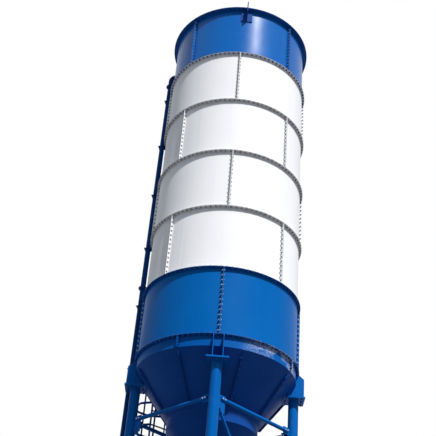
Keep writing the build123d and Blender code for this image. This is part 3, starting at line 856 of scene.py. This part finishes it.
def ring_joint_bolts():
    """The bolts of each ring joint, left out where an arm or a clamp shares the flange."""
    room = 1.7
    taken = arm_azimuths + [pipe_azimuth]
    free = [a for a in ring_azimuths() if all(apart(a, t) > room for t in taken)]
    for name, height in zip(course_names, ring_heights):
        painted = name in ("base_course", "second_course", "top_course")
        finish = painted_bolts if painted else weathered_zinc
        places = [at_azimuth(a, flange_bolt_circle, height) for a in free]
        repeated(name + "_foot_bolts", ring_bolt, places, finish)
    middle = rim_height + (rim_thickness - flange_thickness) / 2
    places = [at_azimuth(a, flange_bolt_circle, middle) for a in ring_azimuths()]
    repeated("rim_bolts", rim_bolt, places, painted_bolts)


def arm_and_clamp_bolts():
    """Longer bolts that also hold the ladder's arms, above, and the pipe's clamps, below."""
    lift = flange_thickness / 2
    places = []
    for height in ring_heights:
        places += [at_azimuth(a, flange_bolt_circle, height + lift) for a in arm_azimuths]
        places.append(at_azimuth(pipe_azimuth, flange_bolt_circle, height - lift))
    repeated("arm_and_clamp_bolts", arm_bolt, places, painted_bolts)


# Bolts of the upright seams

def course_seam_bolts():
    pitch = (course_height - 2 * seam_bolt_margin) / (seam_bolt_count - 1)
    for index, name in enumerate(course_names):
        painted = name in ("base_course", "top_course")
        finish = half_painted_zinc if painted else weathered_zinc
        low = ring_heights[index] + seam_bolt_margin
        places = [at_azimuth(a, flange_bolt_circle, low + i * pitch) @ lay_across
                  for a in seam_azimuths(index) for i in range(seam_bolt_count)]
        repeated(name + "_seam_bolts", seam_bolt, places, finish)


def hopper_seam_bolts():
    """Bolts along the hopper's flanged seams and the beam's four splices."""
    reach = 0.028
    out = Vector((0, -sin(hopper_slope), -cos(hopper_slope))) * reach
    count = 9
    top_margin = 0.12
    foot_margin = 0.1
    high = beam_bottom - top_margin
    low = hopper_bottom + foot_margin
    beam_heights = [beam_bottom + 0.05, beam_bottom + 0.11, belly_height - 0.07]
    places = []
    for i in range(hopper_panels):
        azimuth = beam_seam_azimuth + 360 / hopper_panels * i
        for j in range(count):
            height = low + (high - low) * j / (count - 1)
            place = at_azimuth(azimuth, hopper_radius(height), height)
            places.append(place @ Matrix.Translation(out) @ lay_across)
    for i in range(4):
        for height in beam_heights:
            place = at_azimuth(beam_seam_azimuth + 90 * i, flange_bolt_circle, height)
            places.append(place @ lay_across)
    repeated("hopper_seam_bolts", seam_bolt, places, shaded_blue_enamel)


# Sealing strips

def seam_strips():
    """Butyl strip in the gap of each upright seam of a course."""
    depth_inside = 0.007
    squeezed_out = 0.003
    inner = shell_radius - depth_inside
    outer = shell_radius + flange_reach + squeezed_out
    for index, name in enumerate(course_names):
        bm = bmesh.new()
        middle = ring_heights[index] + course_height / 2
        for azimuth in seam_azimuths(index):
            place = at_azimuth(azimuth, (inner + outer) / 2, middle)
            size = Matrix.Diagonal((seam_gap, outer - inner, course_height, 1))
            bmesh.ops.create_cube(bm, size=1, matrix=place @ size)
        finished_piece(name + "_seam_strips", bm, butyl_strip)


def add_ring_bead(bm, radius, height, bead, steps, sides=6):
    """A bead of round section all the way round the Z axis."""
    circle = bmesh.ops.create_circle(
        bm, segments=sides, radius=bead,
        matrix=Matrix.Translation((radius, 0, height)) @ lay_outward)
    edges = list({e for v in circle["verts"] for e in v.link_edges})
    bmesh.ops.spin(bm, geom=circle["verts"] + edges, cent=(0, 0, 0), axis=(0, 0, 1),
                   angle=radians(360), steps=steps, use_merge=True)


def ring_seals():
    """Sealant that has squeezed out between the flanges of each ring joint."""
    bead = 0.0022
    bm = bmesh.new()
    for height in ring_heights + [rim_height]:
        add_ring_bead(bm, shell_radius + flange_reach, height, bead, steps=180, sides=5)
    bmesh.ops.recalc_face_normals(bm, faces=bm.faces)
    finished_piece("ring_seals", bm, butyl_strip)


# Bolts of the legs

def bracket_bolts():
    """Eight bolts through each leg's head plate and the bracket's plate above it."""
    reach = 0.152
    spots = [(x, y) for x in (-reach, 0, reach) for y in (-reach, 0, reach) if (x, y) != (0, 0)]
    shape = bolt_shape("bracket_bolt", shell_bolt_flats, bracket_plate + head_plate)
    places = [at_azimuth(90 * leg, leg_circle, bracket_bottom) @ Matrix.Translation((x, y, 0))
              for leg in range(4) for x, y in spots]
    repeated("bracket_bolts", shape, places, painted_bolts)


def anchor_nuts():
    """Anchor bolts that stand out of the foundation, with a washer and two nuts."""
    sides = 10
    washer_radius = 0.024
    thread_radius = 0.012
    tip_radius = 0.0112
    washer_top = base_plate + 0.005
    nut_top = base_plate + 0.024
    lock_nut_foot = base_plate + 0.0245
    lock_nut_top = base_plate + 0.038
    thread_foot = 0.0005
    thread_top = base_plate + 0.062
    bm = bmesh.new()
    add_prism(bm, sides, washer_radius, base_plate, washer_top)
    add_hexagon(bm, anchor_nut_flats, washer_top, nut_top)
    add_hexagon(bm, anchor_nut_flats, lock_nut_foot, lock_nut_top)
    add_prism(bm, sides, thread_radius, thread_foot, thread_top, tip_radius)
    shape = as_shape("anchor_nut", bm)
    half = anchor_spacing / 2
    places = [at_azimuth(90 * leg, leg_circle, 0) @ Matrix.Translation((x, y, 0))
              for leg in range(4) for x in (-half, half) for y in (-half, half)]
    repeated("anchor_nuts", shape, places, weathered_zinc)


def tie_bolts():
    """Two bolts through the end of every tie and diagonal."""
    tie_bolt = bolt_shape("tie_bolt", tie_bolt_flats, 2 * tie_radius)
    brace_bolt = bolt_shape("brace_bolt", tie_bolt_flats, 2 * brace_radius)
    tie_spots = (0.19, 0.25)
    brace_spots = (0.24, 0.3)
    places = []
    slants = []
    for bay in range(4):
        for height in tie_heights:
            for along in tie_spots:
                for x in (along, bay_length - along):
                    places.append(in_bay(bay) @ Matrix.Translation((x, 0, height)) @ lay_outward)
    for start, end in ((base_tie, middle_tie), (top_tie, middle_tie)):
        for lie in brace_places(start, end):
            for along in brace_spots:
                for x in (along, brace_length - along):
                    slants.append(lie @ Matrix.Translation((x, 0, 0)) @ lay_outward)
    # The tie bolts' lighter zinc is a painted glint.
    repeated("tie_bolts", tie_bolt, places, glint_painted_zinc)
    repeated("brace_bolts", brace_bolt, slants, painted_bolts)


# Bolts of the fill pipe, the ladder and its cage

def pipe_flange_bolts():
    shape = bolt_shape("pipe_bolt", pipe_bolt_flats, 2 * pipe_flange)
    out = Matrix.Translation((pipe_bolt_circle, 0, 0))
    turns = [radians((i + 0.5) * 360 / pipe_bolt_count) for i in range(pipe_bolt_count)]
    places = [at_azimuth(pipe_azimuth, pipe_circle, joint) @ Matrix.Rotation(turn, 4, "Z") @ out
              for joint in pipe_joints for turn in turns]
    repeated("pipe_flange_bolts", shape, places, painted_bolts)


def cage_bolts():
    """A small bolt where each strap crosses each hoop."""
    shape = bolt_shape("cage_bolt", cage_bolt_flats, cage_bar + strap_bar)
    out = Matrix.Translation((0, -cage_inside, 0)) @ lay_outward
    places = []
    for i in range(hoop_count):
        height = cage_start + i * hoop_pitch + hoop_height / 2
        middle = at_azimuth(ladder_azimuth, ladder_circle + cage_centre, height)
        for angle in strap_angles:
            places.append(middle @ Matrix.Rotation(radians(angle), 4, "Z") @ out)
    repeated("cage_bolts", shape, places, painted_bolts)


# Weld beads

def add_line_bead(bm, start, end, bead):
    """A bead of six-sided section from one point to another."""
    start = Vector(start)
    run = Vector(end) - start
    turn = run.to_track_quat("Z", "Y").to_matrix().to_4x4()
    place = Matrix.Translation(start + run / 2) @ turn
    bmesh.ops.create_cone(bm, cap_ends=True, segments=6, radius1=bead, radius2=bead,
                          depth=run.length, matrix=place)


def leg_welds():
    """Fillets round the legs at both ends, and along the brackets' gussets."""
    bead = 0.005
    front = -0.178
    back = 0.16
    shell_side = -0.022
    flange_side = -0.078
    plate_top = bracket_bottom + bracket_plate
    flange_foot = belly_height - flange_thickness
    bm = bmesh.new()
    add_ring_bead(bm, leg_radius, base_plate, bead, steps=40)
    add_ring_bead(bm, leg_radius, bracket_bottom - head_plate, bead, steps=40)
    for side in (-1, 1):
        for face in (-gusset_thickness / 2, gusset_thickness / 2):
            x = side * gusset_distance + face
            add_line_bead(bm, (x, front, plate_top), (x, back, plate_top), bead)
            add_line_bead(bm, (x, shell_side, plate_top), (x, shell_side, flange_foot), bead)
            add_line_bead(bm, (x, flange_side, flange_foot), (x, shell_side, flange_foot), bead)
    bmesh.ops.recalc_face_normals(bm, faces=bm.faces)
    shape = as_shape("leg_weld", bm)
    places = [at_azimuth(90 * leg, leg_circle, 0) for leg in range(4)]
    repeated("leg_welds", shape, places, painted_weld)


course_sheets()
beam_sheets()
hopper_sheets()
lower_hopper_sheets()
roof_sheets()
manhole_pieces()
leg_tubes()
tie_and_brace_tubes()
pipe_tubes()
ring_joint_bolts()
arm_and_clamp_bolts()
course_seam_bolts()
hopper_seam_bolts()
seam_strips()
ring_seals()
bracket_bolts()
anchor_nuts()
tie_bolts()
pipe_flange_bolts()
cage_bolts()
leg_welds()


# Stage, light and camera

def seen_directly(tree):
    """1 for what the camera sees, straight or in a reflection."""
    path = tree.nodes.new("ShaderNodeLightPath")
    mirrored = add_math(
        tree, "MAXIMUM", path.outputs["Is Glossy Ray"], path.outputs["Is Transmission Ray"])
    return add_math(tree, "MAXIMUM", path.outputs["Is Camera Ray"], mirrored)


def pale_floor():
    """A floor that looks pale to the camera and throws little light back up."""
    bm = bmesh.new()
    bmesh.ops.create_grid(bm, x_segments=1, y_segments=1, size=400)
    mesh = bpy.data.meshes.new("floor")
    bm.to_mesh(mesh)
    bm.free()
    floor = bpy.data.objects.new("floor", mesh)
    bpy.context.scene.collection.objects.link(floor)
    finish, tree, shader = new_finish("pale_floor")
    grain = add_noise(tree, stretched_place(tree, (0.6, 0.6, 0.6)), 1.0, 4.0)
    pale = add_mix(tree, grain, (0.80, 0.80, 0.80, 1.0), (0.84, 0.84, 0.84, 1.0))
    dim = add_mix(tree, grain, (0.11, 0.11, 0.11, 1.0), (0.135, 0.135, 0.135, 1.0))
    tree.links.new(add_mix(tree, seen_directly(tree), dim, pale), shader.inputs["Base Color"])
    shader.inputs["Roughness"].default_value = 0.9
    shader.inputs["Specular IOR Level"].default_value = 0.1
    mesh.materials.append(finish)


def open_sky():
    """A white background, and a weaker bluish light from all round."""
    world = bpy.data.worlds.new("open_sky")
    bpy.context.scene.world = world
    world.use_nodes = True
    tree = world.node_tree
    tree.nodes.clear()
    output = tree.nodes.new("ShaderNodeOutputWorld")
    mix = tree.nodes.new("ShaderNodeMixShader")
    glow = tree.nodes.new("ShaderNodeBackground")
    glow.inputs["Color"].default_value = (0.76, 0.86, 1.0, 1.0)
    glow.inputs["Strength"].default_value = 0.5
    white = tree.nodes.new("ShaderNodeBackground")
    white.inputs["Color"].default_value = (1.0, 1.0, 1.0, 1.0)
    white.inputs["Strength"].default_value = 1.0
    tree.links.new(seen_directly(tree), mix.inputs["Fac"])
    tree.links.new(glow.outputs["Background"], mix.inputs[1])
    tree.links.new(white.outputs["Background"], mix.inputs[2])
    tree.links.new(mix.outputs["Shader"], output.inputs["Surface"])


def add_sun(name, azimuth, elevation, strength, spread, colour):
    """A sun that stands at an azimuth and an elevation, in degrees."""
    data = bpy.data.lights.new(name, "SUN")
    data.energy = strength
    data.angle = radians(spread)
    data.color = colour
    lamp = bpy.data.objects.new(name, data)
    bpy.context.scene.collection.objects.link(lamp)
    away = Vector((sin(radians(azimuth)) * cos(radians(elevation)),
                   -cos(radians(azimuth)) * cos(radians(elevation)), sin(radians(elevation))))
    lamp.rotation_euler = away.to_track_quat("Z", "Y").to_euler()


def place_camera():
    """The photograph's view, solved from the rings of the shell."""
    pixels = 436
    principal_distance = 872.7
    pitch = 0.599
    roll = 0.08425
    yaw = -0.01378
    distance = 16.03
    height = 0.22
    ahead = Vector((sin(yaw) * cos(pitch), cos(yaw) * cos(pitch), sin(pitch)))
    level = Vector((cos(yaw), -sin(yaw), 0))
    over = level.cross(ahead)
    right = level * cos(roll) + over * sin(roll)
    up = over * cos(roll) - level * sin(roll)
    data = bpy.data.cameras.new("camera")
    data.sensor_width = 36
    data.lens = principal_distance * data.sensor_width / pixels
    data.clip_end = 1000
    camera = bpy.data.objects.new("camera", data)
    bpy.context.scene.collection.objects.link(camera)
    axes = Matrix((right, up, -ahead)).transposed().to_4x4()
    camera.matrix_world = Matrix.Translation((0, -distance, height)) @ axes
    bpy.context.scene.camera = camera


pale_floor()
open_sky()
add_sun("sun", azimuth=28, elevation=54, strength=5.35, spread=3, colour=(1.0, 0.985, 0.96))
place_camera()
bpy.context.scene.view_settings.view_transform = "Standard"
